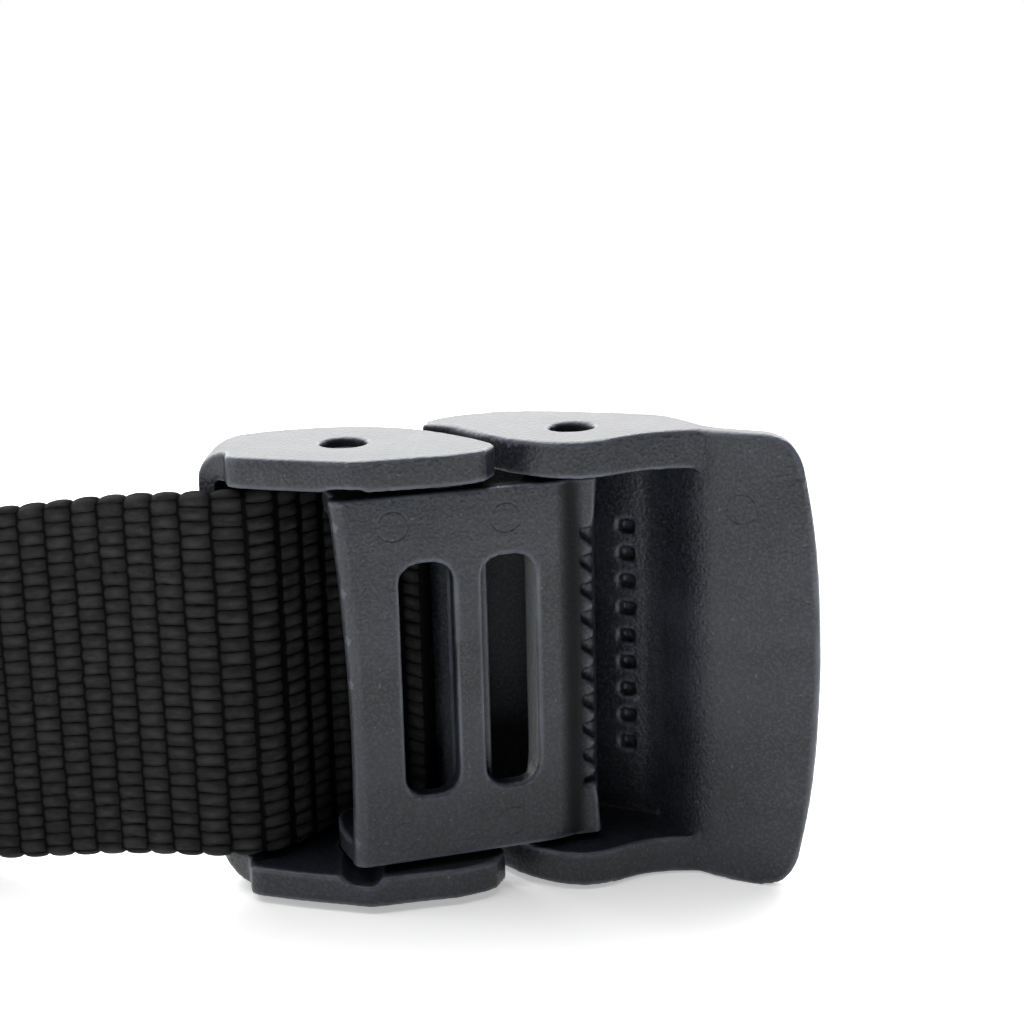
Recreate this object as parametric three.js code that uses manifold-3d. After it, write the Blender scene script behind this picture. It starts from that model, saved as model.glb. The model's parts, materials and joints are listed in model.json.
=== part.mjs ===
// Weight belt with a moulded quick-release buckle, shown with its lever open.
//
// The belt stands on its edge: +X runs along the belt towards the lever's lip,
// +Y points to the wearer's body and +Z runs across the webbing.  Lengths are
// in millimetres.  The outlines below are drawn in the XY plane, seen from
// above, with the clip's hinge axis at x = 0, y = 0, and are extruded along Z.
// The finished group is shifted so that the origin is the middle of the base.

import * as THREE from 'three';
import { mergeVertices } from 'three/addons/utils/BufferGeometryUtils.js';
import Module from 'manifold-3d';

const wasm = await Module();
wasm.setup();

// ---------------------------------------------------------------- dimensions
const LIP_WIDTH = 61.4;             // the lever's lip, the widest piece
const MIDDLE = LIP_WIDTH / 2;       // every piece is centred at this height
const CLIP_WIDTH = 59.6;            // over the clip's two cheeks
const CHEEK = 4.1;                  // thickness of a cheek
const EAR_WIDTH = 59.6;             // over the lever's two ears
const EAR = 4.3;                    // thickness of an ear
const FRAME_WIDTH = 49.3;           // the jaw frame, between cheeks and ears
const FLANGE = 3.0;                 // thickness of the jaw frame's side flanges
const WALL = 2.8;                   // plate thickness of all three mouldings

const LEVER_AXIS = new THREE.Vector2(29.4, 4.3);
const CLIP_HOLE_R = 3.05;
const CLIP_TRUNNION_R = 2.8;
const LEVER_HOLE_R = 2.95;
const LEVER_TRUNNION_R = 2.7;
const TRUNNION_RECESS = 1.1;        // how far a trunnion's end sits inside its hole

const SLOT_HEIGHT = 31.2;
const SLOT_WIDTH = 7.2;
const SLOT_CORNER = 2.6;
const SLOT_STARTS = [6.9, 17.35];   // left edges of the two slots on the near face

const TEETH = 9;
const TOOTH_PITCH = 3.85;
const TOOTH_ROOT_X = 30.0;
const TOOTH_TIP_X = 31.9;
const TOOTH_ROOT_Y = -0.9;
const TOOTH_TIP_Y = 0.2;

const POCKETS = 9;
const POCKET_PITCH = 3.86;
const POCKET_SIZE = [2.3, 1.9];     // along the plate, across the webbing
const POCKET_DEPTH = 0.9;

const WEB_WIDTH = 50;
const WEB_THICK = 2.4;
const ROLL_OUTER_R = 34.1;
const ROLL_INNER_R = 10;
const RUN_TO_ROLL = 77;             // straight webbing between the bend and the roll

const GAP = 0.3;                    // air between pieces that touch
const CUT = 1;                      // how far a cutter stands out of what it cuts
const OUTLINE_STEPS = 5;            // segments between two points of a smooth outline
const ROUND_STEPS = 32;             // segments of a hole or trunnion
const REACH = 40;                   // longer than any cut through the buckle

// ------------------------------------------------------------------- helpers
const v2 = ([x, y]) => new THREE.Vector2(x, y);

function solid(geometry) {
  const bare = geometry.clone();
  bare.deleteAttribute('normal');
  bare.deleteAttribute('uv');
  const merged = mergeVertices(bare, 1e-5);
  return new wasm.Manifold(new wasm.Mesh({
    numProp: 3,
    vertProperties: new Float32Array(merged.attributes.position.array),
    triVerts: new Uint32Array(merged.index.array),
  }));
}

function geometryOf(manifold) {
  const mesh = manifold.getMesh();
  const geometry = new THREE.BufferGeometry();
  geometry.setAttribute('position', new THREE.BufferAttribute(new Float32Array(mesh.vertProperties), 3));
  geometry.setIndex(new THREE.BufferAttribute(new Uint32Array(mesh.triVerts), 1));
  geometry.computeVertexNormals();
  return geometry;
}

// A smooth open curve through a few points.
function smooth(points, steps = OUTLINE_STEPS) {
  return new THREE.SplineCurve(points.map(v2)).getPoints(steps * (points.length - 1));
}

// The curve moved sideways, to its left as it is walked.
function offset(points, distance) {
  return points.map((point, i) => {
    const before = points[Math.max(i - 1, 0)];
    const after = points[Math.min(i + 1, points.length - 1)];
    const along = after.clone().sub(before).normalize();
    return new THREE.Vector2(point.x - along.y * distance, point.y + along.x * distance);
  });
}

function band(points, before, after) {
  return [...offset(points, after), ...offset(points, before).reverse()];
}

// An XY outline extruded from one height to another.
function prism(points, z0, z1, steps = 1) {
  const geometry = new THREE.ExtrudeGeometry(new THREE.Shape(points), {
    depth: z1 - z0,
    steps,
    bevelEnabled: false,
  });
  geometry.translate(0, 0, z0);
  return solid(geometry);
}

// An XZ outline extruded along Y, to cut or trim what is seen from the front.
function frontPrism(points, y0, y1) {
  const flipped = points.map((p) => new THREE.Vector2(p.x, -p.y));
  const geometry = new THREE.ExtrudeGeometry(new THREE.Shape(flipped), {
    depth: y1 - y0,
    bevelEnabled: false,
  });
  geometry.rotateX(-Math.PI / 2);
  geometry.translate(0, y0, 0);
  return solid(geometry);
}

function box(min, max) {
  const size = max.map((value, i) => value - min[i]);
  const geometry = new THREE.BoxGeometry(...size);
  geometry.translate(...min.map((value, i) => value + size[i] / 2));
  return solid(geometry);
}

function upright(x, y, radius, z0, z1) {
  const geometry = new THREE.CylinderGeometry(radius, radius, z1 - z0, ROUND_STEPS);
  geometry.rotateX(Math.PI / 2);
  geometry.translate(x, y, (z0 + z1) / 2);
  return solid(geometry);
}

// Corner of a front outline: a quarter circle about a centre.
function corner(cx, cz, radius, from, steps = 5) {
  return Array.from({ length: steps + 1 }, (_, i) => {
    const angle = from + (Math.PI / 2) * (i / steps);
    return new THREE.Vector2(cx + radius * Math.cos(angle), cz + radius * Math.sin(angle));
  });
}

function bothEnds(make) {
  return make(MIDDLE, -1).add(make(MIDDLE, 1));
}

function slab(points, inner, outer) {
  return bothEnds((middle, side) => {
    const ends = [middle + side * inner, middle + side * outer];
    return prism(points, Math.min(...ends), Math.max(...ends));
  });
}

function part(name, manifold, color, roughness) {
  const material = new THREE.MeshStandardMaterial({ color, roughness, metalness: 0 });
  const mesh = new THREE.Mesh(geometryOf(manifold), material);
  mesh.name = name;
  return mesh;
}

// ---------------------------------------------------------------- strap clip
// A scoop that is hinged to the jaw frame.  The webbing's fixed end runs over
// its left lip and lies against the inside of its back.
const clipBack = smooth([
  [-19.0, -0.4], [-18.0, 3.2], [-15.0, 6.3], [-10.4, 8.7], [-4.8, 10.0], [0, 10.3], [4.4, 9.6], [8.4, 8.0],
  [12.6, 4.9], [16.4, 1.2], [19.0, -2.2],
]);
const clipFront = [
  [19.4, -3.6], [18.3, -6.6], [17.2, -7.6], [13.4, -9.4], [7.5, -10.5], [3.0, -11.5], [1.5, -11.6],
  [-1.0, -10.9], [-7.5, -9.2], [-13.2, -7.3], [-14.4, -6.4], [-14.8, -3.6],
].map(v2);

const CLIP_LEFT = -19;
const CLIP_CORNER = 4.8;
const LOWER_GROOVE = 1.15;          // depth of the lead-in grooves in the two cheeks
const UPPER_GROOVE = 0.5;

// The lead-in that lets a trunnion slide along a cheek into its hole: wide at
// the cheek's face and narrower at its bottom.
function leadIn(side, face, depth) {
  const mouth = [[-1.75, -14], [3.8, -14], [2.8, -1], [-2.8, -1]];
  const floor = [[0.0, -14], [2.75, -14], [1.4, -1], [-1.4, -1]];
  return wasm.Manifold.hull([
    ...mouth.map(([x, y]) => [x, y, MIDDLE + side * (face - 0.01)]),
    ...floor.map(([x, y]) => [x, y, MIDDLE + side * (face + depth)]),
  ]);
}

function strapClip() {
  const half = CLIP_WIDTH / 2;
  const gapHalf = half - CHEEK;
  const shell = prism([...clipBack, ...clipFront], MIDDLE - half, MIDDLE + half);
  const hollow = offset(clipBack, -WALL).filter((p) => p.x < 18.6);
  const mouth = [[30, 0.4], [30, -30], [-30, -30], [-30, -2.2], [-16.4, -2.2]].map(v2);
  const inside = hollow.filter((p) => p.y > -1.8 && p.x > -17);
  const channel = prism([...inside, ...mouth], MIDDLE - gapHalf, MIDDLE + gapHalf);
  const holes = upright(0, 0, CLIP_HOLE_R, -CUT, LIP_WIDTH + CUT);
  const grooves = leadIn(-1, gapHalf, LOWER_GROOVE).add(leadIn(1, gapHalf, UPPER_GROOVE));
  const cornerX = CLIP_LEFT + CLIP_CORNER;
  const trim = frontPrism([
    new THREE.Vector2(REACH, MIDDLE + half),
    ...corner(cornerX, MIDDLE + half - CLIP_CORNER, CLIP_CORNER, Math.PI / 2),
    ...corner(cornerX, MIDDLE - half + CLIP_CORNER, CLIP_CORNER, Math.PI),
    new THREE.Vector2(REACH, MIDDLE - half),
  ], -REACH, REACH);
  return shell.subtract(channel).subtract(holes).subtract(grooves).intersect(trim);
}

// ----------------------------------------------------------------- jaw frame
// A slotted plate between two side flanges.  Trunnions on the flanges turn in
// the clip's cheeks at the left and in the lever's ears at the right, where the
// plate ends in a toothed jaw.
const FOLD = [26.7, -3.1];
const NOSE = [0.8, -10.85];
const platePitch = Math.atan2(FOLD[1] - NOSE[1], FOLD[0] - NOSE[0]);

const frameProfile = [
  [1.2, -8.0], [0.4, -7.6], [-0.4, -7.7], [-0.95, -8.2], [-1.15, -8.9], [-1.0, -9.7], [-0.5, -10.4], [0.2, -10.78], NOSE,
  [25.2, -3.6], FOLD, [27.2, -2.85], [TOOTH_ROOT_X, TOOTH_ROOT_Y], [TOOTH_ROOT_X, 0.8],
  [31.8, 1.7], [32.2, 3.3], [32.1, 4.9], [31.4, 6.4], [30.0, 7.1], [28.4, 7.0], [26.4, 6.0], [24.2, 4.0], [22.9, 1.8], [22.4, -1.7],
].map(v2);

const clipFlange = [
  [1.0, -10.0], [-0.3, -9.2], [-1.5, -6.8], [-2.5, -4.0], [-3.1, 0], [-2.7, 1.6], [-1.6, 2.7], [0, 3.1], [1.6, 2.7], [2.7, 1.6],
  [3.3, 0], [5.2, -3.2], [9.0, -6.0], [9.5, -7.4],
].map(v2);

const leverFlange = [
  [16.0, -5.4], [22.0, -1.6], [25.5, 4.6], [27.2, 6.6], [29.4, 7.3], [31.2, 6.7], [32.2, 5.2], [32.4, 3.6],
  [31.6, -0.4], [28.0, -1.2], [26.7, -3.0], [25.2, -3.5],
].map(v2);

const BOW = 1.0;                    // how far the middle of the left edge is hollowed
const EDGE_LEAN = 0.6;              // and how far its upper end reaches further out
const BOW_STEPS = 16;
const BOW_TO = 3.5;                 // the edge's curve fades out along the plate
const BOW_FADE = 2.5;

// The plate's rounded left edge is hollowed a little towards mid-height.
function bowLeftEdge(plate) {
  return plate.warp((vert) => {
    const height = (vert[2] - MIDDLE) / (FRAME_WIDTH / 2);
    const share = THREE.MathUtils.clamp((BOW_TO - vert[0]) / BOW_FADE, 0, 1);
    vert[0] += share * (BOW * (1 - height * height) - EDGE_LEAN * height);
  });
}

function slotCutter(start) {
  const x0 = 0;
  const x1 = SLOT_WIDTH;
  const z0 = -SLOT_HEIGHT / 2;
  const z1 = SLOT_HEIGHT / 2;
  const r = SLOT_CORNER;
  const outline = [
    ...corner(x1 - r, z1 - r, r, 0),
    ...corner(x0 + r, z1 - r, r, Math.PI / 2),
    ...corner(x0 + r, z0 + r, r, Math.PI),
    ...corner(x1 - r, z0 + r, r, 1.5 * Math.PI),
  ];
  const nearY = NOSE[1] + Math.tan(platePitch) * (start - NOSE[0]);
  return frontPrism(outline, -4, 10)
    .rotate([0, 0, THREE.MathUtils.radToDeg(platePitch)])
    .translate([start, nearY, MIDDLE]);
}

function tooth(index) {
  const z = MIDDLE + (index - (TEETH - 1) / 2) * TOOTH_PITCH;
  const root = TOOTH_ROOT_X - 0.4;
  const outline = [
    [root, z - TOOTH_PITCH * 0.42, TOOTH_ROOT_Y - 0.1], [TOOTH_TIP_X - 0.3, z - TOOTH_PITCH * 0.36, TOOTH_TIP_Y],
    [TOOTH_TIP_X, z - TOOTH_PITCH * 0.1, TOOTH_TIP_Y], [root, z + TOOTH_PITCH * 0.44, TOOTH_ROOT_Y - 0.1],
  ];
  const back = 2.2;
  return wasm.Manifold.hull([
    ...outline.map(([x, height, y]) => [x, y, height]),
    ...outline.map(([x, height]) => [x, back, height]),
  ]);
}

// Fills the corner between the jaw and a flange; its face leans towards the teeth.
function gusset(side) {
  const row = (TEETH / 2) * TOOTH_PITCH + 0.4;
  const outline = [
    [29.6, row, -0.7], [31.9, row, -0.3], [32.4, FRAME_WIDTH / 2, -1.1], [28.3, FRAME_WIDTH / 2, -1.9],
  ];
  const back = 3.4;
  return wasm.Manifold.hull([
    ...outline.map(([x, z, y]) => [x, y, MIDDLE + side * z]),
    ...outline.map(([x, z]) => [x, back, MIDDLE + side * z]),
  ]);
}

function jawFrame() {
  const half = FRAME_WIDTH / 2;
  let frame = bowLeftEdge(prism(frameProfile, MIDDLE - half, MIDDLE + half, BOW_STEPS));
  frame = frame.add(slab(clipFlange, half - FLANGE, half));
  frame = frame.add(slab(leverFlange, half - FLANGE, half));
  // The clamping bar presses the webbing's fixed end against the clip's back.
  const bar = [
    [-0.1, -1.1], [2.6, -1.2], [2.9, 0.6], [2.2, 2.4], [1.2, 3.1], [1.0, 4.0], [0.1, 4.0], [-0.1, 2.6],
  ].map(v2);
  frame = frame.add(prism(bar, MIDDLE - half + 1, MIDDLE + half - 1));
  for (let index = 0; index < TEETH; index += 1) frame = frame.add(tooth(index));
  frame = frame.add(gusset(1)).add(gusset(-1));
  // The trunnions reach out of both flanges into the cheeks and the ears.
  const clipReach = CLIP_WIDTH / 2 - TRUNNION_RECESS;
  const leverReach = EAR_WIDTH / 2 - TRUNNION_RECESS;
  frame = frame.add(slab(circle(0, 0, CLIP_TRUNNION_R), half - 1, clipReach));
  frame = frame.add(slab(circle(LEVER_AXIS.x, LEVER_AXIS.y, LEVER_TRUNNION_R), half - 1, leverReach));
  for (const start of SLOT_STARTS) frame = frame.subtract(slotCutter(start));
  return frame;
}

function circle(x, y, radius, steps = ROUND_STEPS) {
  return Array.from({ length: steps }, (_, i) => {
    const angle = (2 * Math.PI * i) / steps;
    return new THREE.Vector2(x + radius * Math.cos(angle), y + radius * Math.sin(angle));
  });
}

// ----------------------------------------------------------------- cam lever
// A curved cover plate with two ears that turn on the jaw frame's trunnions.
// Its heel lies behind the clip, its lip is what a finger pulls.
const leverMiddle = smooth([
  [11.0, 11.4], [13.6, 13.6], [17.4, 14.9], [22.8, 15.0], [28.4, 13.7], [33.2, 11.8], [37.4, 9.9], [41.0, 8.0],
  [43.6, 4.2], [45.4, 1.0], [47.8, -1.4], [51.0, -3.2], [54.8, -4.7], [58.2, -5.6], [61.6, -6.1],
]);

const earOutline = [
  ...smooth([
    [9.5, 9.7], [13.4, 7.9], [16.9, 3.6], [21.2, -1.4], [24.6, -4.0], [27.4, -5.3], [30.3, -5.7], [33.0, -5.0],
    [35.6, -3.4], [38.2, -2.1], [41.0, -1.5], [44.0, -1.3], [46.6, -1.6],
  ]),
  ...[[45.6, 0.7], [43.6, 4.2], [41.0, 8.0], [37.4, 9.9], [33.2, 11.8], [28.4, 13.7], [22.8, 15.0], [17.4, 14.9],
    [13.6, 13.6], [10.4, 11.5]].map(v2),
];

function leverFrontOutline(inset) {
  const earHalf = EAR_WIDTH / 2 - inset;
  const lipHalf = LIP_WIDTH / 2 - inset;
  const flare = [[8, earHalf], [38, earHalf], [44, earHalf + 0.35], [50, lipHalf - 0.05], [53.5, lipHalf]];
  const rightEnd = [
    [56.2, lipHalf - 0.9], [57.9, lipHalf - 3.2], [58.7, lipHalf - 6.4], [59.8, lipHalf - 13], [60.5, lipHalf - 21],
    [60.8, 0],
  ].map(([x, z]) => [x - inset, z]);
  const upper = smooth([...flare, ...rightEnd], 3);
  const lower = upper.slice(0, -1).map((p) => new THREE.Vector2(p.x, -p.y)).reverse();
  return [...upper, ...lower].map((p) => new THREE.Vector2(p.x, p.y + MIDDLE)).reverse();
}

const LIP_NEAR_Y = -7.0;            // the near face of the lip
const LIP_CHAMFER = 1.3;
const POCKET_TILT = -25;
const POCKET_MIDDLE = [36.8, 8.85];

function pocket(index) {
  const z = MIDDLE + (index - (POCKETS - 1) / 2) * POCKET_PITCH;
  const [length, height] = POCKET_SIZE;
  const cutter = box([-length / 2, -2, -height / 2], [length / 2, POCKET_DEPTH, height / 2]);
  return cutter.rotate([0, 0, POCKET_TILT]).translate([...POCKET_MIDDLE, z]);
}

function camLever() {
  const plate = prism(band(leverMiddle, -WALL / 2, WALL / 2), 0, LIP_WIDTH);
  const ears = slab(earOutline, EAR_WIDTH / 2 - EAR, LIP_WIDTH / 2);
  // Trimmed to its front outline, with a chamfer on the near edge of the lip.
  const nearTrim = frontPrism(leverFrontOutline(LIP_CHAMFER), LIP_NEAR_Y - CUT - LIP_CHAMFER, LIP_NEAR_Y - LIP_CHAMFER);
  const farTrim = frontPrism(leverFrontOutline(0), LIP_NEAR_Y + LIP_CHAMFER / 2, REACH);
  const trim = wasm.Manifold.hull([nearTrim, farTrim]);
  let lever = plate.add(ears).intersect(trim);
  lever = lever.subtract(upright(LEVER_AXIS.x, LEVER_AXIS.y, LEVER_HOLE_R, -CUT, LIP_WIDTH + CUT));
  for (let index = 0; index < POCKETS; index += 1) lever = lever.subtract(pocket(index));
  return lever;
}

// ------------------------------------------------------------------- webbing
// The fixed end lies in the clip, comes out over its lip and runs to the left,
// and the rest of the belt is wound into a roll that stands on its edge.
const webInClip = offset(clipBack, -(WALL + GAP + WEB_THICK / 2)).filter((p) => p.x > -4 && p.x < 11.6);
const webBend = [
  [-6.3, 2.2], [-8.9, -1.2], [-12.0, -3.7], [-16.2, -4.4], [-20.5, -3.8], [-26.0, -1.8], [-33.0, 0.9],
  [-40.0, 3.2], [-47.0, 5.4],
];
const RUN_SLOPE = THREE.MathUtils.degToRad(17);
const WEB_LIFT = 5.7;               // the webbing's lower edge where the clip holds it
const LIFT_FROM = -14;              // it starts to sink here and lies on the ground there
const LIFT_TO = -66;

function webLift(x) {
  const t = THREE.MathUtils.clamp((x - LIFT_TO) / (LIFT_FROM - LIFT_TO), 0, 1);
  return WEB_LIFT * t * t * (3 - 2 * t);
}

function webbing() {
  const held = webInClip.filter((_, i) => i % 3 === 0).reverse().map((p) => [p.x, p.y]);
  const bend = smooth([...held, ...webBend], 3);
  const last = bend[bend.length - 1];
  const along = new THREE.Vector2(-Math.cos(RUN_SLOPE), Math.sin(RUN_SLOPE));
  const inward = new THREE.Vector2(Math.sin(RUN_SLOPE), Math.cos(RUN_SLOPE));
  const run = [1, 2, 3, 4, 5, 6, 7].map((i) => last.clone().addScaledVector(along, (RUN_TO_ROLL * i) / 7));
  const tangent = run[run.length - 1];
  const centre = tangent.clone().addScaledVector(inward, ROLL_OUTER_R - WEB_THICK / 2);
  const geometry = new THREE.ExtrudeGeometry(
    new THREE.Shape(band([...bend, ...run], -WEB_THICK / 2, WEB_THICK / 2)),
    { depth: WEB_WIDTH, bevelEnabled: false },
  );
  const position = geometry.attributes.position;
  for (let i = 0; i < position.count; i += 1) {
    position.setZ(i, position.getZ(i) + webLift(position.getX(i)));
  }
  const ring = new THREE.Shape(circle(centre.x, centre.y, ROLL_OUTER_R, 60));
  ring.holes.push(new THREE.Path(circle(centre.x, centre.y, ROLL_INNER_R, 30)));
  const roll = new THREE.ExtrudeGeometry(ring, { depth: WEB_WIDTH, bevelEnabled: false });
  return solid(geometry).add(solid(roll));
}

// ------------------------------------------------------------------ assembly
const PLASTIC = 0x2b2c2f;
const NYLON = 0x131315;

const pieces = new THREE.Group();
pieces.add(
  part('strap_clip', strapClip(), PLASTIC, 0.5),
  part('jaw_frame', jawFrame(), PLASTIC, 0.5),
  part('cam_lever', camLever(), PLASTIC, 0.48),
  part('webbing_strap', webbing(), NYLON, 0.85),
);

const bounds = new THREE.Box3().setFromObject(pieces, true);
const centre = bounds.getCenter(new THREE.Vector3());
pieces.position.set(-centre.x, -centre.y, -bounds.min.z);

const belt = new THREE.Group();
belt.add(pieces);
export default belt;
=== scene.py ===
import json
import math

import bmesh
import bpy
from bpy.props import FloatProperty, FloatVectorProperty, IntProperty, PointerProperty
from mathutils import Matrix, Vector, noise


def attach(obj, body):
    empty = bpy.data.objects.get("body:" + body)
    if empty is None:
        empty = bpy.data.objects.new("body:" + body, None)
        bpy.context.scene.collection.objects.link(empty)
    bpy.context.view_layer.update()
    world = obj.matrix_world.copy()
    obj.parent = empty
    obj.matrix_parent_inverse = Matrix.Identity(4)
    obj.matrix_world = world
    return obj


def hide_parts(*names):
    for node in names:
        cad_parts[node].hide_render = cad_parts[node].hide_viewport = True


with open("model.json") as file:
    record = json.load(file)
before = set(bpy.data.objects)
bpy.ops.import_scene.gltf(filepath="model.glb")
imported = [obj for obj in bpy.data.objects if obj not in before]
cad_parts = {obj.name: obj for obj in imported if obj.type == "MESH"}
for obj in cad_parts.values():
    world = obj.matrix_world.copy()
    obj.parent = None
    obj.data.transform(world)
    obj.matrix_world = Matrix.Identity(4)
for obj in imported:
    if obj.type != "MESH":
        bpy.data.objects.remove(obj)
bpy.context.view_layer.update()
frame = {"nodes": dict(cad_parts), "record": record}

bl_info = {
    "name": "Dive Weight Belt",
    "version": (1, 0, 0),
    "blender": (4, 5, 0),
    "location": "3D View > Sidebar > Belt",
    "description": "Makes a webbing belt with a moulded quick-release buckle, lever open",
    "category": "Object",
}

HINGES = {joint["name"]: Vector(joint["pos_m"]) for joint in frame["record"]["behaviour"]["joints"]}
CLIP_AXIS = HINGES["clip_hinge"]
MM = 0.001


def from_clip(x, y, z=0.0):
    """A point given in millimetres: x and y from the clip's hinge axis, z from the ground."""
    return Vector((CLIP_AXIS.x + x * MM, CLIP_AXIS.y + y * MM, z * MM))


# ------------------------------------------------------------------ settings
class BeltWebbing(bpy.types.PropertyGroup):
    """Sizes and colours of the woven strap"""

    width: FloatProperty(
        name="Width", description="Width of the webbing", default=0.05, unit="LENGTH"
    )
    thickness: FloatProperty(
        name="Thickness", description="Thickness over the weave", default=0.0024, unit="LENGTH"
    )
    length: FloatProperty(
        name="Length", description="Length of the whole strap", default=1.40, unit="LENGTH"
    )
    float_length: FloatProperty(
        name="Float Length", description="Length of one column of floats", default=0.004, unit="LENGTH"
    )
    rows: IntProperty(name="Rows", description="Floats across the webbing", default=27)
    relief: FloatProperty(
        name="Relief", description="Height of a float", default=0.00042, unit="LENGTH"
    )
    colour: FloatVectorProperty(
        name="Colour", description="Colour of the yarn", subtype="COLOR",
        default=(0.0105, 0.0105, 0.0112),
    )
    # Painted highlight: the colour laid on the crowns of the floats in place of their sheen.
    highlight: FloatVectorProperty(
        name="Highlight", description="Colour of rubbed yarn", subtype="COLOR",
        default=(0.042, 0.042, 0.043),
    )


class BeltBuckle(bpy.types.PropertyGroup):
    """Surface of the buckle's mouldings"""

    voxel: FloatProperty(
        name="Edge Detail", description="Grid that rounds the moulded edges",
        default=0.000345, unit="LENGTH",
    )
    colour: FloatVectorProperty(
        name="Colour", description="Colour of the plastic", subtype="COLOR",
        default=(0.0064, 0.0075, 0.0105),
    )
    # Pale tone of the flow marks and the grain, and the colour of the painted highlight on convex edges.
    pale_tone_and_highlight: FloatVectorProperty(
        name="Rubbed Colour", description="Colour of worn edges", subtype="COLOR",
        default=(0.088, 0.097, 0.120),
    )
    grain: FloatProperty(
        name="Grain", description="Size of the spark-eroded grain", default=0.00042, unit="LENGTH"
    )


class BeltStage(bpy.types.PropertyGroup):
    """Floor, light and camera"""

    key_power: FloatProperty(
        name="Overhead Light", description="Power of the overhead light", default=5.0, unit="POWER"
    )
    world_light: FloatProperty(
        name="Surroundings", description="Brightness of the surroundings", default=1.0
    )
    table_glow: FloatProperty(
        name="Table Glow", description="Light given by the lit table", default=0.38
    )
    lens: FloatProperty(
        name="Lens", description="Focal length in millimetres", default=67.85, unit="CAMERA"
    )


# ------------------------------------------------------------- shader maths
class Signal:
    """A node's output that takes part in Python arithmetic."""

    def __init__(self, paint, socket):
        self.paint = paint
        self.socket = socket

    def _maths(self, operation, first, second):
        return self.paint.node("ShaderNodeMath", {"operation": operation}, [first, second])

    def __add__(self, other):
        return self._maths("ADD", self, other)

    def __radd__(self, other):
        return self._maths("ADD", other, self)

    def __sub__(self, other):
        return self._maths("SUBTRACT", self, other)

    def __rsub__(self, other):
        return self._maths("SUBTRACT", other, self)

    def __mul__(self, other):
        return self._maths("MULTIPLY", self, other)

    def __rmul__(self, other):
        return self._maths("MULTIPLY", other, self)

    def __truediv__(self, other):
        return self._maths("DIVIDE", self, other)

    def __pow__(self, other):
        return self._maths("POWER", self, other)

    def least(self, other):
        return self._maths("MINIMUM", self, other)

    def most(self, other):
        return self._maths("MAXIMUM", self, other)

    def size(self):
        return self._maths("ABSOLUTE", self, 0.0)

    def whole(self):
        return self._maths("FLOOR", self, 0.0)

    def rest(self):
        return self._maths("FRACT", self, 0.0)


class Paint:
    """The node tree of a material or of the world, around its shader."""

    def __init__(self, owner, shader="Principled BSDF"):
        self.owner = owner
        owner.use_nodes = True
        self.tree = owner.node_tree
        self.shader = self.tree.nodes[shader]

    def node(self, kind, settings=None, values=None, output=0):
        """Makes a node: its settings first, then the values or links of its sockets."""
        made = self.tree.nodes.new(kind)
        for name, value in (settings or {}).items():
            setattr(made, name, value)
        pairs = values.items() if isinstance(values, dict) else enumerate(values or [])
        for key, value in pairs:
            self.feed(made.inputs[key], value)
        return Signal(self, made.outputs[output])

    def feed(self, socket, value):
        """Links a signal to a socket, or sets the socket to a number or a colour."""
        if isinstance(value, Signal):
            self.tree.links.new(value.socket, socket)
        elif isinstance(value, (int, float)) or not hasattr(value, "__len__"):
            socket.default_value = value
        else:
            padded = tuple(value) + (1,) * (len(socket.default_value) - len(value))
            socket.default_value = padded

    def finish(self, colour, roughness, surface, specular):
        """Feeds the shader; specular is the same all over, so it is a plain value."""
        self.feed(self.shader.inputs["Base Color"], colour)
        self.feed(self.shader.inputs["Roughness"], roughness)
        self.feed(self.shader.inputs["Normal"], surface)
        self.shader.inputs["Specular IOR Level"].default_value = specular
        return self.owner

    def axis(self, vector, letter):
        return self.node("ShaderNodeSeparateXYZ", {}, [vector], output=letter)

    def mix(self, mask, low, high):
        """A colour between two colours; a Mix node's colours are its inputs 6 and 7."""
        return self.node("ShaderNodeMix", {"data_type": "RGBA"}, {0: mask, 6: low, 7: high}, output=2)

    def between(self, value, low, high):
        """A mask that rises from 0 at low to 1 at high."""
        values = {"Value": value, "From Min": low, "From Max": high}
        return self.node("ShaderNodeMapRange", {"interpolation_type": "SMOOTHSTEP"}, values)

    def noise(self, vector, scale, detail=2.0, roughness=0.5):
        values = {"Vector": vector, "Scale": scale, "Detail": detail, "Roughness": roughness}
        return self.node("ShaderNodeTexNoise", {}, values)

    def stretched_noise(self, vector, scale, detail=2.0, roughness=0.5):
        """Noise with its own scale, per metre, along each axis of the vector."""
        values = {"Vector": vector, "Scale": scale}
        placed = self.node("ShaderNodeMapping", {"vector_type": "POINT"}, values)
        return self.noise(placed, 1.0, detail, roughness)

    def bump(self, height, strength, distance, normal=None):
        values = {"Strength": strength, "Distance": distance, "Height": height}
        if normal is not None:
            values["Normal"] = normal
        return self.node("ShaderNodeBump", {}, values)


# ---------------------------------------------------------------- materials
# Lengths are in metres. The marks' places are x and z in millimetres, from the
# clip's hinge and from the ground.
EJECTOR_RING = 0.0019                # radius of the round marks that the mould's pins leave
RING_INSIDE, RING_OUTSIDE = 0.00008, 0.00024
FRAME_MARKS = [(6.4, 51.6), (20.6, 51.4), (6.4, 10.0), (20.6, 10.0)]
LEVER_MARKS = [(50.6, 51.6), (50.6, 10.0)]
BOX_FADE = 0.002                     # soft edge of an unpolished box
CLOUD_SCALE = 150                    # of the blotches in the gloss, per metre
FLOW_SCALE = (60, 60, 120)
SPECK_SCALE = 2300

# Painted shade: colour of the concave creases.
CREASE_SHADE = (0.006, 0.006, 0.007)
SPECK = (0.16, 0.165, 0.17)
# Painted shade: the dark colour laid inside a shaded box.
BOX_SHADE = (0.0015, 0.0016, 0.0020)
GRAIN_DEPTH = 0.00009
RING_DEPTH = 0.00007

YARN_DUST = (0.10, 0.10, 0.10)
# Painted shade: near-black colour laid in the gaps between the floats.
GAP_SHADE_COLOUR = (0.0004, 0.0004, 0.0004)
MELTED_YARN = (0.010, 0.010, 0.011)
FLOAT_DEPTH = 0.00030
FIBRE_DEPTH = 0.00009


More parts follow.
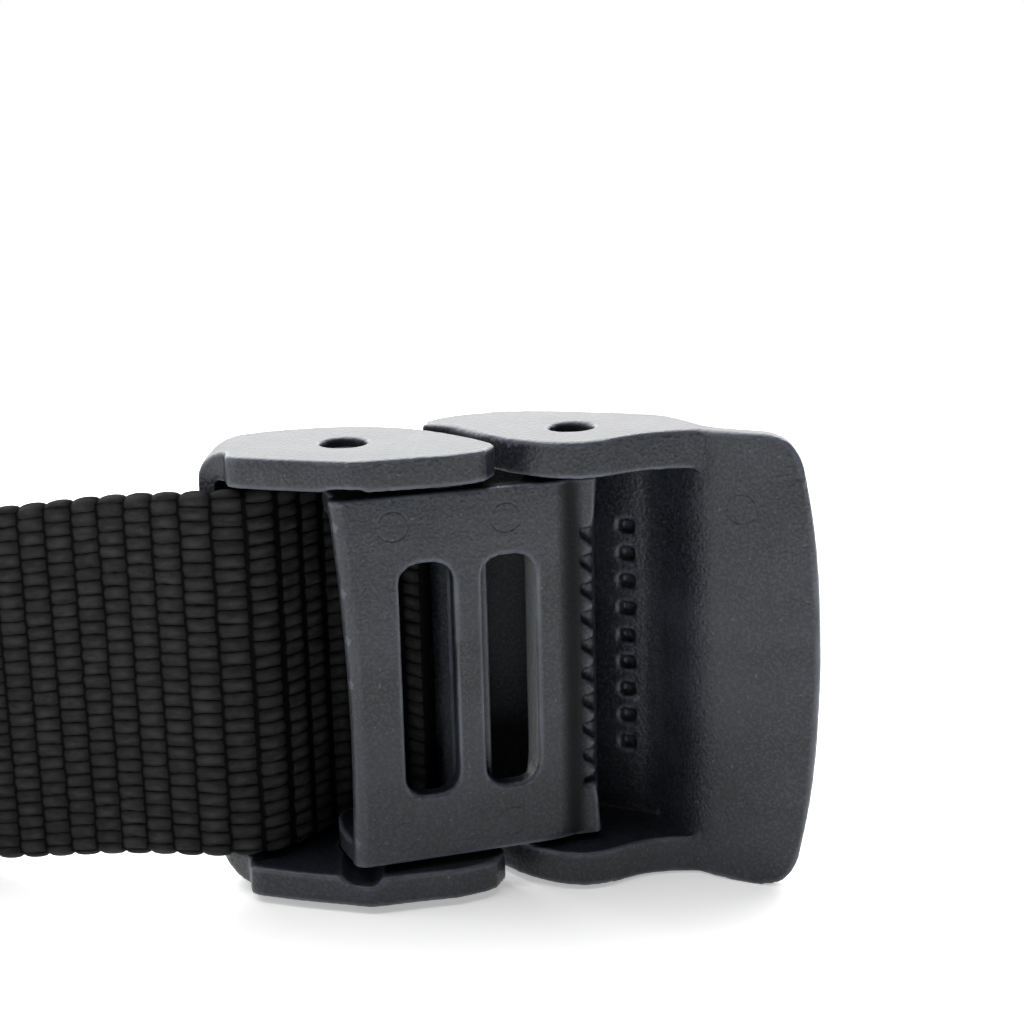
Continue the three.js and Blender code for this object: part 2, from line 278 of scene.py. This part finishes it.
def ejector_marks(paint, places, centres):
    """Height mask of shallow rings round points given by x and z in millimetres."""
    rings = None
    along = paint.axis(places, "X")
    upward = paint.axis(places, "Z")
    for x, z in centres:
        centre = from_clip(x, 0, z)
        across = along - centre.x
        up = upward - centre.z
        distance = (across * across + up * up) ** 0.5
        off_ring = (distance - EJECTOR_RING).size()
        ring = 1 - paint.between(off_ring, RING_INSIDE, RING_OUTSIDE)
        rings = ring if rings is None else rings.most(ring)
    return rings


def box_mask(paint, places, box):
    """1 inside a box and 0 outside it, with a soft edge."""
    inside = None
    for letter, low, high in zip("XYZ", *box):
        off_centre = (paint.axis(places, letter) - (low + high) / 2).size()
        half = (high - low) / 2
        share = paint.between(off_centre, half, half - BOX_FADE)
        inside = share if inside is None else inside * share
    return inside


def moulded_plastic(settings, name, marks=(), dull=None, shade=0.0):
    """Black nylon with a spark-eroded grain, faint flow marks, a painted highlight on convex edges and
    painted shade in creases.

    dull is a box, in metres, in which the mould wasn't polished, so the plastic is rougher there, and
    shade says how strongly painted shade darkens its colour there.
    """
    paint = Paint(bpy.data.materials.new(name))
    places = paint.node("ShaderNodeTexCoord", output="Object")
    grain = paint.noise(places, 1 / settings.grain, 2.0, 0.6)
    pit_values = {"Vector": places, "Scale": 0.8 / settings.grain}
    pits = paint.node("ShaderNodeTexVoronoi", {"feature": "F1"}, pit_values)
    cloud = paint.noise(places, CLOUD_SCALE, 3.0)
    flow = paint.stretched_noise(places, FLOW_SCALE, 3.0)
    edge = paint.node("ShaderNodeNewGeometry", output="Pointiness")
    # Painted highlight: convex edges, found by pointiness, are coloured pale.
    edge_highlight = paint.between(edge, 0.504, 0.535) * (0.55 + 0.45 * paint.between(cloud, 0.35, 0.6))
    # Painted shade: concave creases, found by pointiness, are coloured darker.
    crease_shade = paint.between(edge, 0.495, 0.44)
    speck = paint.between(paint.noise(places, SPECK_SCALE, 0.0), 0.80, 0.84)

    colour = paint.mix(paint.between(flow, 0.3, 0.75) * 0.14, settings.colour, settings.pale_tone_and_highlight)
    colour = paint.mix(paint.between(grain, 0.40, 0.70) * 0.24, colour, settings.pale_tone_and_highlight)
    colour = paint.mix(edge_highlight * 0.85, colour, settings.pale_tone_and_highlight)
    colour = paint.mix(crease_shade * 0.5, colour, CREASE_SHADE)
    colour = paint.mix(speck * 0.3, colour, SPECK)
    roughness = 0.27 + cloud * 0.08 + grain * 0.10 - edge_highlight * 0.06
    if dull:
        unpolished_and_shaded = box_mask(paint, places, dull)
        # Painted shade: inside the box the colour is darkened by the factor shade.
        colour = paint.mix(unpolished_and_shaded * (1 - edge_highlight) * shade, colour, BOX_SHADE)
        roughness = roughness + 0.45 * unpolished_and_shaded

    surface = paint.bump(grain * 0.7 + pits * 0.5, 0.9, GRAIN_DEPTH)
    if marks:
        surface = paint.bump(1 - ejector_marks(paint, places, marks), 0.6, RING_DEPTH, surface)
    return paint.finish(colour, roughness, surface, specular=0.36)


def woven_nylon(settings):
    """Black yarn: fibres run along each float, with a painted highlight on top of each float and painted
    shade between the floats.
    """
    paint = Paint(bpy.data.materials.new("black_webbing"))
    cloth = paint.node("ShaderNodeUVMap", {"uv_map": "cloth"})
    relief, sealed, opened = (
        paint.node("ShaderNodeAttribute", {"attribute_name": name}, output="Fac")
        for name in ("relief", "sealed", "opened")
    )
    wobble = paint.stretched_noise(cloth, (300, 560, 1), 1.0) - 0.5
    ragged = paint.stretched_noise(cloth, (900, 1500, 1), 2.0)
    fibres = paint.stretched_noise(cloth, (700, 8000, 1), 3.0, 0.6)
    tufts = paint.stretched_noise(cloth, (420, 900, 1), 2.0)
    patch = paint.stretched_noise(cloth, (40, 60, 1), 2.0)
    fuzz = paint.between(paint.stretched_noise(cloth, (2600, 3400, 1), 1.0), 0.62, 0.78)

    # Floats lie like bricks: each column is shifted by half a float.
    column = paint.axis(cloth, "X") / settings.float_length + wobble * 0.12
    rows_per_metre = settings.rows / settings.width
    row = paint.axis(cloth, "Y") * rows_per_metre + (column.whole() * 0.5).rest() + wobble * 0.36
    end = (column.rest() - 0.5).size() * 2
    side = (row.rest() - 0.5).size() * 2
    # opened widens the painted shade between the columns where the strap bends into the clip.
    reach = end * (1.03 + 0.20 * opened)
    outside = reach ** 5 + side ** 6 * (0.35 + 0.95 * ragged)
    bundle = 1 - outside.least(1.0)
    # Painted shade between the floats and where the weave is low.
    gap_shade = paint.between(outside, 0.42, 0.95).most(1 - paint.between(relief, 0.0, 0.3))

    # Painted sheen: the crown and middle of each float are coloured towards the highlight colour, in
    # place of a reflection.
    crown = paint.between(relief, 0.15, 0.95)
    middle = 1 - (reach * reach * 0.55).least(1.0)
    tufted = 0.25 + 0.75 * paint.between(tufts, 0.25, 0.7)
    sheen = crown * middle * tufted * (0.45 + 0.55 * fibres)
    colour = paint.mix(sheen, settings.colour, settings.highlight)
    colour = paint.mix(fuzz * crown * 0.30 * paint.between(patch, 0.3, 0.7), colour, YARN_DUST)
    colour = paint.mix(gap_shade * 0.96, colour, GAP_SHADE_COLOUR)
    colour = paint.mix(sealed, colour, MELTED_YARN)
    roughness = 0.62 + 0.2 * fibres - 0.3 * sealed
    surface = paint.bump(fibres, 0.5, FIBRE_DEPTH, paint.bump(bundle, 0.9, FLOAT_DEPTH))
    return paint.finish(colour, roughness, surface, specular=0.06)


# ---------------------------------------------------------------- mouldings
MERGE_WITHIN = 1e-6
SMOOTHING_PASSES = 3
ROW_ROUNDING = 1e5                   # tells the rows of a unit grid apart


def apply_modifiers(piece):
    graph = bpy.context.evaluated_depsgraph_get()
    finished = bpy.data.meshes.new_from_object(piece.evaluated_get(graph))
    piece.modifiers.clear()
    piece.data = finished


def rounded_moulding(node, name, voxel, material):
    """A moulding with soft edges, made from the plain solid of a CAD node."""
    shape = bmesh.new()
    shape.from_mesh(frame["nodes"][node].data)
    bmesh.ops.remove_doubles(shape, verts=shape.verts, dist=MERGE_WITHIN)
    mesh = bpy.data.meshes.new(name)
    shape.to_mesh(mesh)
    shape.free()
    piece = bpy.data.objects.new(name, mesh)
    bpy.context.scene.collection.objects.link(piece)
    remesh = piece.modifiers.new("Grid", "REMESH")
    remesh.mode = "VOXEL"
    remesh.voxel_size = voxel
    apply_modifiers(piece)
    shape = bmesh.new()
    shape.from_mesh(piece.data)
    for _ in range(SMOOTHING_PASSES):
        bmesh.ops.smooth_vert(
            shape, verts=shape.verts, factor=0.5, use_axis_x=True, use_axis_y=True, use_axis_z=True
        )
    for face in shape.faces:
        face.smooth = True
    shape.to_mesh(piece.data)
    shape.free()
    piece.data.materials.clear()
    piece.data.materials.append(material)
    return piece


def place_moulding(piece, node, body):
    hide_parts(node)
    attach(piece, body)


class BELT_OT_strap_clip(bpy.types.Operator):
    """Make the clip that holds the webbing's fixed end"""

    bl_idname = "belt.strap_clip"
    bl_label = "Strap Clip"

    def execute(self, context):
        look = context.scene.belt_buckle
        material = moulded_plastic(look, "clip_plastic")
        piece = rounded_moulding("strap_clip", "clip_moulding", look.voxel, material)
        place_moulding(piece, "strap_clip", "clip_and_webbing")
        return {"FINISHED"}


class BELT_OT_jaw_frame(bpy.types.Operator):
    """Make the slotted frame with its toothed jaw"""

    bl_idname = "belt.jaw_frame"
    bl_label = "Jaw Frame"

    def execute(self, context):
        look = context.scene.belt_buckle
        jaw_face = (from_clip(26.8, -5.5, 4), from_clip(31.2, 1.5, 57.5))
        # The jaw's face gets painted shade as well as its rougher finish.
        material = moulded_plastic(look, "frame_plastic", FRAME_MARKS, jaw_face, shade=0.95)
        piece = rounded_moulding("jaw_frame", "frame_moulding", look.voxel, material)
        place_moulding(piece, "jaw_frame", "jaw_frame")
        return {"FINISHED"}


class BELT_OT_cam_lever(bpy.types.Operator):
    """Make the lever with its ears, pockets and lip"""

    bl_idname = "belt.cam_lever"
    bl_label = "Cam Lever"

    def execute(self, context):
        look = context.scene.belt_buckle
        heel = (from_clip(4, 0, 5), from_clip(31, 14.5, 56.5))
        material = moulded_plastic(look, "lever_plastic", LEVER_MARKS, heel)
        piece = rounded_moulding("cam_lever", "lever_moulding", look.voxel, material)
        place_moulding(piece, "cam_lever", "cam_lever")
        return {"FINISHED"}


# ------------------------------------------------------------------ webbing
# Lengths in this part are in millimetres, from the clip's hinge and the
# ground. The strap's middle line runs from its hidden end outwards: round
# the clip's bar, over its lip, straight on, and into the roll.
CLIP_ROUTE = [
    (9.9, 1.7), (7.4, 3.8), (4.0, 5.3), (0.2, 5.95), (-3.3, 5.35), (-6.3, 2.2), (-8.9, -1.2),
    (-12.0, -3.7), (-16.2, -4.4), (-20.5, -3.8), (-26.0, -1.8), (-33.0, 0.9), (-40.0, 3.2), (-47.0, 5.4),
]
ROUTE_STEPS = 12                     # points in each stretch of the clip's route
RUN_SLOPE = math.radians(17)
RUN_TO_ROLL = 77.0
RUN_STEPS = 80
ROLL_OUTSIDE = 34.1
ROLL_RADIUS = ROLL_OUTSIDE - 1.2     # less half the strap: the outermost turn's middle line
ROLL_STEP = 1.0                      # between two points of the roll
TURN_GAP = 0.25                      # air between two turns of the roll
WEB_LIFT = 5.7                       # how high the clip carries the strap's lower edge
LIFT_FROM, LIFT_TO = -14.0, -66.0

FINE_UNTIL, FINE_SPACING = 100, 0.5
OUTER_TURN_UNTIL, OUTER_TURN_SPACING = 370, 1.0
HIDDEN_SPACING = 5.0

OUTER_SAMPLES = 4                    # sections of one float's width on the outer face
INNER_SAMPLES = 1                    # the same on the body-side face
SELVEDGE_RIPPLE = 0.45               # depth of the notches along both edges
SELVEDGE_ROUNDING = 0.6              # in floats, how far the edges' rounding reaches
EDGE_THICKNESS = 0.35                # of the strap's thickness, at its very edges
OPENS_FROM, OPENS_OVER = -14.0, 5.0  # the bend into the clip spreads the columns of floats
SEALED_END, SEALED_FADE = 6.0, 3.0
INNER_UV_SHIFT = 0.2                 # keeps the two faces apart on the UV map, in metres
WANDER_ALONG, WANDER_ACROSS = 0.26, 0.78    # how quickly the floats stray from their places
WANDER_SLICE, HEIGHT_SLICE = 3.0, 8.0       # two unlike slices of the same noise


def spline_point(points, index, t):
    """A point of the smooth curve through the points, in their stretch number index."""
    last = len(points) - 1
    p0, p1, p2, p3 = (Vector(points[min(max(index + k, 0), last)]) for k in (-1, 0, 1, 2))
    bend = 2 * p0 - 5 * p1 + 4 * p2 - p3
    twist = 3 * p1 - p0 - 3 * p2 + p3
    return 0.5 * (2 * p1 + (p2 - p0) * t + bend * t * t + twist * t ** 3)


def route_of_webbing(length, thickness):
    """The strap's middle line from its hidden end to the heart of the roll."""
    line = []
    for index in range(len(CLIP_ROUTE) - 1):
        line += [spline_point(CLIP_ROUTE, index, step / ROUTE_STEPS) for step in range(ROUTE_STEPS)]
    corner = Vector(CLIP_ROUTE[-1])
    along = Vector((-math.cos(RUN_SLOPE), math.sin(RUN_SLOPE)))
    inward = Vector((math.sin(RUN_SLOPE), math.cos(RUN_SLOPE)))
    line += [corner + along * (RUN_TO_ROLL * step / RUN_STEPS) for step in range(RUN_STEPS)]
    centre = corner + along * RUN_TO_ROLL + inward * ROLL_RADIUS
    start = math.atan2(-inward.y, -inward.x)
    pitch = thickness + TURN_GAP
    angle = 0.0
    radius = ROLL_RADIUS
    travelled = sum((b - a).length for a, b in zip(line, line[1:]))
    while travelled < length:
        line.append(centre + Vector((math.cos(start - angle), math.sin(start - angle))) * radius)
        travelled += (line[-1] - line[-2]).length
        angle += ROLL_STEP / radius
        radius = ROLL_RADIUS - pitch * max(angle - math.pi, 0.0) / (2 * math.pi)
    return line


def station_spacing(distance):
    """Closest in the clip and beside it, wider up to the end of the roll's outer turn, then widest."""
    if distance < FINE_UNTIL:
        return FINE_SPACING
    if distance < OUTER_TURN_UNTIL:
        return OUTER_TURN_SPACING
    return HIDDEN_SPACING


def stations_along(line):
    """Points of the line with their tangent and distance, spaced as station_spacing says."""
    stations = []
    travelled = 0.0
    wanted = 0.0
    for a, b in zip(line, line[1:]):
        stretch = (b - a).length
        while wanted <= travelled + stretch:
            t = (wanted - travelled) / stretch
            stations.append((a.lerp(b, t), (b - a).normalized(), wanted))
            wanted += station_spacing(wanted)
        travelled += stretch
    return stations


def smoothed_tangents(stations):
    """The stations' tangents, each averaged with its two neighbours on both sides."""
    last = len(stations) - 1
    result = []
    for i in range(len(stations)):
        group = [stations[min(max(i + k, 0), last)][1] for k in (-2, -1, 0, 1, 2)]
        result.append(sum(group, Vector((0, 0))).normalized())
    return result


def ramp(value, start, span):
    """0 before start, rising to 1 over span."""
    return min(max((value - start) / span, 0.0), 1.0)


def weave_relief(distance, row, column_length):
    """Height of the weave, 0 to 1: floats in columns that are offset by half a float."""
    uneven = noise.noise(Vector((distance * WANDER_ALONG, row * WANDER_ACROSS, WANDER_SLICE)))
    column = distance / column_length + uneven * 0.10
    number = math.floor(column)
    shift = 0.5 if number % 2 else 0.0
    along = math.sin(math.pi * (column - number))
    across = abs(math.sin(math.pi * (row + shift + uneven * 0.2)))
    own_height = noise.noise(Vector((number * 1.7, round(row + shift) * 1.3, HEIGHT_SLICE)))
    tall = 0.85 + 0.3 * own_height
    return min(tall * (max(along, 0.0) ** 0.4) * (across ** 0.6), 1.0)


def web_lift(x):
    """How high the strap's lower edge is, smoothly down from the clip to the ground."""
    t = ramp(x, LIFT_TO, LIFT_FROM - LIFT_TO)
    return WEB_LIFT * t * t * (3 - 2 * t)


def strap_section(rows):
    """Round the strap's section: (side, row position) from the lower edge and back."""
    outer = [(-1, i / OUTER_SAMPLES) for i in range(rows * OUTER_SAMPLES + 1)]
    inner = [(1, rows - i / INNER_SAMPLES) for i in range(rows * INNER_SAMPLES + 1)]
    return outer + inner


def selvedge_inset(row, rows, distance, column):
    """How far a point moves across the strap: notches between the floats at both edges."""
    ripple = SELVEDGE_RIPPLE * (1 - abs(math.sin(math.pi * distance / column)) ** 0.5)
    if row < 0.5:
        return ripple
    if row > rows - 0.5:
        return -ripple
    return 0.0


def flat_grid(shape, columns, section_points):
    """The grid's vertices, row by row: a column for each station, a row for each section point."""
    made = bmesh.ops.create_grid(shape, x_segments=columns - 1, y_segments=section_points, size=0.5)
    verts = sorted(made["verts"], key=lambda vert: (round(vert.co.y * ROW_ROUNDING), vert.co.x))
    return [verts[start:start + columns] for start in range(0, len(verts), columns)]


def close_strap(shape):
    """Joins the grid's long edges, fills both ends and turns all faces outwards."""
    bmesh.ops.remove_doubles(shape, verts=shape.verts, dist=2 * MERGE_WITHIN)
    open_edges = [edge for edge in shape.edges if edge.is_boundary]
    bmesh.ops.holes_fill(shape, edges=open_edges, sides=0)
    bmesh.ops.recalc_face_normals(shape, faces=shape.faces)


class BELT_OT_webbing(bpy.types.Operator):
    """Weave the strap from the clip to the heart of its roll"""

    bl_idname = "belt.webbing"
    bl_label = "Webbing"

    def execute(self, context):
        web = context.scene.belt_webbing
        stations = stations_along(route_of_webbing(web.length / MM, web.thickness / MM))
        section = strap_section(web.rows)
        shape = bmesh.new()
        layers = {name: shape.verts.layers.float.new(name) for name in ("relief", "sealed", "opened")}
        cloth = shape.loops.layers.uv.new("cloth")
        rows_of_verts = flat_grid(shape, len(stations), len(section))
        self.bend(rows_of_verts, section, stations, web, layers)
        self.lay_cloth(shape, cloth, rows_of_verts, section, stations, web)
        close_strap(shape)
        mesh = bpy.data.meshes.new("webbing")
        shape.to_mesh(mesh)
        shape.free()
        piece = bpy.data.objects.new("webbing", mesh)
        context.scene.collection.objects.link(piece)
        mesh.materials.append(woven_nylon(web))
        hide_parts("webbing_strap")
        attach(piece, "clip_and_webbing")
        return {"FINISHED"}

    @staticmethod
    def bend(rows_of_verts, section, stations, web, layers):
        """Carries the grid along the strap's middle line and raises its weave."""
        thickness = web.thickness / MM
        width = web.width / MM
        column = web.float_length / MM
        float_height = web.relief / MM
        sealed_from = web.length / MM - SEALED_END
        tangents = smoothed_tangents(stations)
        for j, row_verts in enumerate(rows_of_verts):
            side, row = section[j % len(section)]
            plump = min(min(row, web.rows - row) / SELVEDGE_ROUNDING, 1.0) ** 0.5
            core = (thickness / 2 - float_height) * (EDGE_THICKNESS + (1 - EDGE_THICKNESS) * plump)
            for i, vert in enumerate(row_verts):
                centre, _, distance = stations[i]
                towards_body = Vector((tangents[i].y, -tangents[i].x))
                sealed = ramp(distance, sealed_from, SEALED_FADE)
                relief = weave_relief(distance, row, column) * (1 - 0.8 * sealed)
                half = core + float_height * relief * plump
                spot = centre + towards_body * half * side
                inset = selvedge_inset(row, web.rows, distance, column)
                z = row / web.rows * width + inset + web_lift(centre.x)
                vert.co = from_clip(spot.x, spot.y, z)
                vert[layers["relief"]] = relief
                vert[layers["sealed"]] = sealed
                vert[layers["opened"]] = ramp(centre.x, OPENS_FROM, OPENS_OVER)

    @staticmethod
    def lay_cloth(shape, cloth, rows_of_verts, section, stations, web):
        """UV in metres: along the strap, and across it."""
        place = {}
        for j, row_verts in enumerate(rows_of_verts):
            side, row = section[j % len(section)]
            across = row / web.rows * web.width + (INNER_UV_SHIFT if side > 0 else 0.0)
            for i, vert in enumerate(row_verts):
                place[vert] = (stations[i][2] * MM, across)
        for face in shape.faces:
            face.smooth = True
            for loop in face.loops:
                loop[cloth].uv = place[loop.vert]


# -------------------------------------------------------------------- stage
FLOOR_SIZE = 3.0
FLOOR_WHITE = (0.93, 0.93, 0.93)
LAMP_PLACE = (-0.15, 0.10, 0.75)
LAMP_WIDTH, LAMP_DEPTH = 0.9, 0.7
CAMERA_PLACE = from_clip(21.4, -242.2, 112.9)
CAMERA_PITCH = math.radians(14.4)
CAMERA_ROLL = math.radians(-1.42)


class BELT_OT_stage(bpy.types.Operator):
    """Make the pale floor, the soft light and the camera"""

    bl_idname = "belt.stage"
    bl_label = "Stage"

    def execute(self, context):
        settings = context.scene.belt_stage
        self.make_floor(context, settings)
        self.make_surroundings(context, settings)
        self.make_lamp(context, settings)
        self.make_camera(context, settings)
        context.scene.view_settings.view_transform = "Standard"
        return {"FINISHED"}

    def make_floor(self, context, settings):
        shape = bmesh.new()
        bmesh.ops.create_grid(shape, x_segments=2, y_segments=2, size=FLOOR_SIZE)
        mesh = bpy.data.meshes.new("floor")
        shape.to_mesh(mesh)
        shape.free()
        floor = bpy.data.objects.new("floor", mesh)
        context.scene.collection.objects.link(floor)
        paint = Paint(bpy.data.materials.new("pale_floor"))
        paint.feed(paint.shader.inputs["Base Color"], FLOOR_WHITE)
        paint.feed(paint.shader.inputs["Roughness"], 0.6)
        paint.feed(paint.shader.inputs["Emission Color"], (1, 1, 1))
        paint.feed(paint.shader.inputs["Emission Strength"], settings.table_glow)
        mesh.materials.append(paint.owner)

    def make_surroundings(self, context, settings):
        """A white room: brightest behind the belt, darker at the right and behind the camera."""
        world = bpy.data.worlds.new("white_room")
        context.scene.world = world
        room = Paint(world, "Background")
        direction = room.node("ShaderNodeTexCoord")
        right, away, up = (room.axis(direction, letter) for letter in "XYZ")
        back_wall = room.between(away, 0.0, 0.7) * room.between(up, 0.02, 0.30)
        left_wall = room.between(right, -0.35, -0.9)
        right_wall = room.between(right, 0.05, 0.55) * room.between(away, 0.85, 0.35)
        around = (0.12 + 0.88 * room.between(away, -0.7, 0.25)) * (1 - 0.9 * right_wall)
        over_camera = room.between(away, 0.2, -0.3) * room.between(up, 0.0, 0.5)
        brightness = around * (1 - 0.5 * over_camera) + 3.5 * back_wall + 0.7 * left_wall
        room.feed(room.shader.inputs["Color"], (1, 1, 1))
        room.feed(room.shader.inputs["Strength"], brightness * settings.world_light)

    def make_lamp(self, context, settings):
        lamp = bpy.data.lights.new("overhead", "AREA")
        lamp.shape = "RECTANGLE"
        lamp.size = LAMP_WIDTH
        lamp.size_y = LAMP_DEPTH
        lamp.energy = settings.key_power
        light = bpy.data.objects.new("overhead", lamp)
        light.matrix_world = Matrix.Translation(LAMP_PLACE)
        context.scene.collection.objects.link(light)

    def make_camera(self, context, settings):
        forward = Vector((0, math.cos(CAMERA_PITCH), -math.sin(CAMERA_PITCH)))
        level_up = Vector((0, math.sin(CAMERA_PITCH), math.cos(CAMERA_PITCH)))
        level_right = Vector((1, 0, 0))
        right = math.cos(CAMERA_ROLL) * level_right + math.sin(CAMERA_ROLL) * level_up
        up = math.cos(CAMERA_ROLL) * level_up - math.sin(CAMERA_ROLL) * level_right
        turn = Matrix((right, up, -forward)).transposed()
        data = bpy.data.cameras.new("camera")
        data.sensor_width = 36
        data.lens = settings.lens
        data.clip_start = 0.01
        camera = bpy.data.objects.new("camera", data)
        camera.matrix_world = Matrix.Translation(CAMERA_PLACE) @ turn.to_4x4()
        context.scene.collection.objects.link(camera)
        context.scene.camera = camera


# -------------------------------------------------------------------- panel
class BELT_PT_panel(bpy.types.Panel):
    """Lists the belt's pieces and settings"""

    bl_label = "Dive Weight Belt"
    bl_idname = "BELT_PT_panel"
    bl_space_type = "VIEW_3D"
    bl_region_type = "UI"
    bl_category = "Belt"

    def draw(self, context):
        layout = self.layout
        for operator in STEPS:
            layout.operator(operator.bl_idname)
        for group_name, group in GROUPS.items():
            box = layout.box()
            for name in group.__annotations__:
                box.prop(getattr(context.scene, group_name), name)


STEPS = (BELT_OT_stage, BELT_OT_strap_clip, BELT_OT_jaw_frame, BELT_OT_cam_lever, BELT_OT_webbing)
GROUPS = {"belt_webbing": BeltWebbing, "belt_buckle": BeltBuckle, "belt_stage": BeltStage}


def register():
    for group in GROUPS.values():
        bpy.utils.register_class(group)
    for operator in STEPS:
        bpy.utils.register_class(operator)
    bpy.utils.register_class(BELT_PT_panel)
    for name, group in GROUPS.items():
        setattr(bpy.types.Scene, name, PointerProperty(type=group))


def unregister():
    for name in GROUPS:
        delattr(bpy.types.Scene, name)
    bpy.utils.unregister_class(BELT_PT_panel)
    for operator in reversed(STEPS):
        bpy.utils.unregister_class(operator)
    for group in GROUPS.values():
        bpy.utils.unregister_class(group)


def main():
    register()
    bpy.ops.belt.stage()
    bpy.ops.belt.strap_clip()
    bpy.ops.belt.jaw_frame()
    bpy.ops.belt.cam_lever()
    bpy.ops.belt.webbing()


if __name__ == "__main__":
    main()
